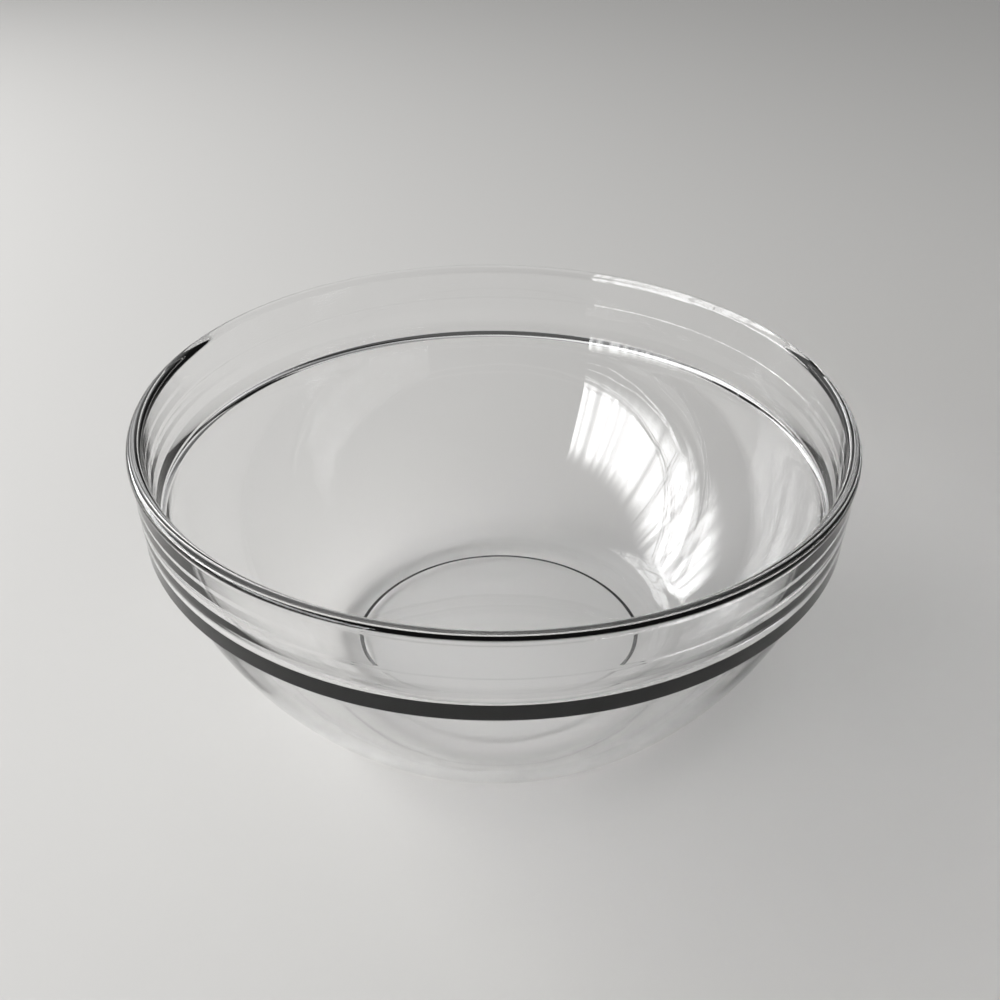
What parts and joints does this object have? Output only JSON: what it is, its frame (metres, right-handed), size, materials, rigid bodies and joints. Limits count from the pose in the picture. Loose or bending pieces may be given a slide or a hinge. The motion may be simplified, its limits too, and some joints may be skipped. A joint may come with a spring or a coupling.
{
  "type": "stacking prep bowl",
  "caption": "Clear pressed-glass prep bowl with a rounded rim, an upright collar, a banded stacking shoulder, a swelling basin and a recessed flat foot.",
  "frame": {"origin": "centre of the foot ring, on the surface that the bowl stands on", "axes": "+Z is the bowl's axis and points up out of its mouth; the bowl is round about it"},
  "size_m": [0.12, 0.12, 0.0545],
  "materials": {
    "clear_glass": "clear pressed soda-lime glass, fire polished"
  },
  "bodies": {
    "root": {"bowl": "clear_glass"}
  },
  "joints": []
}
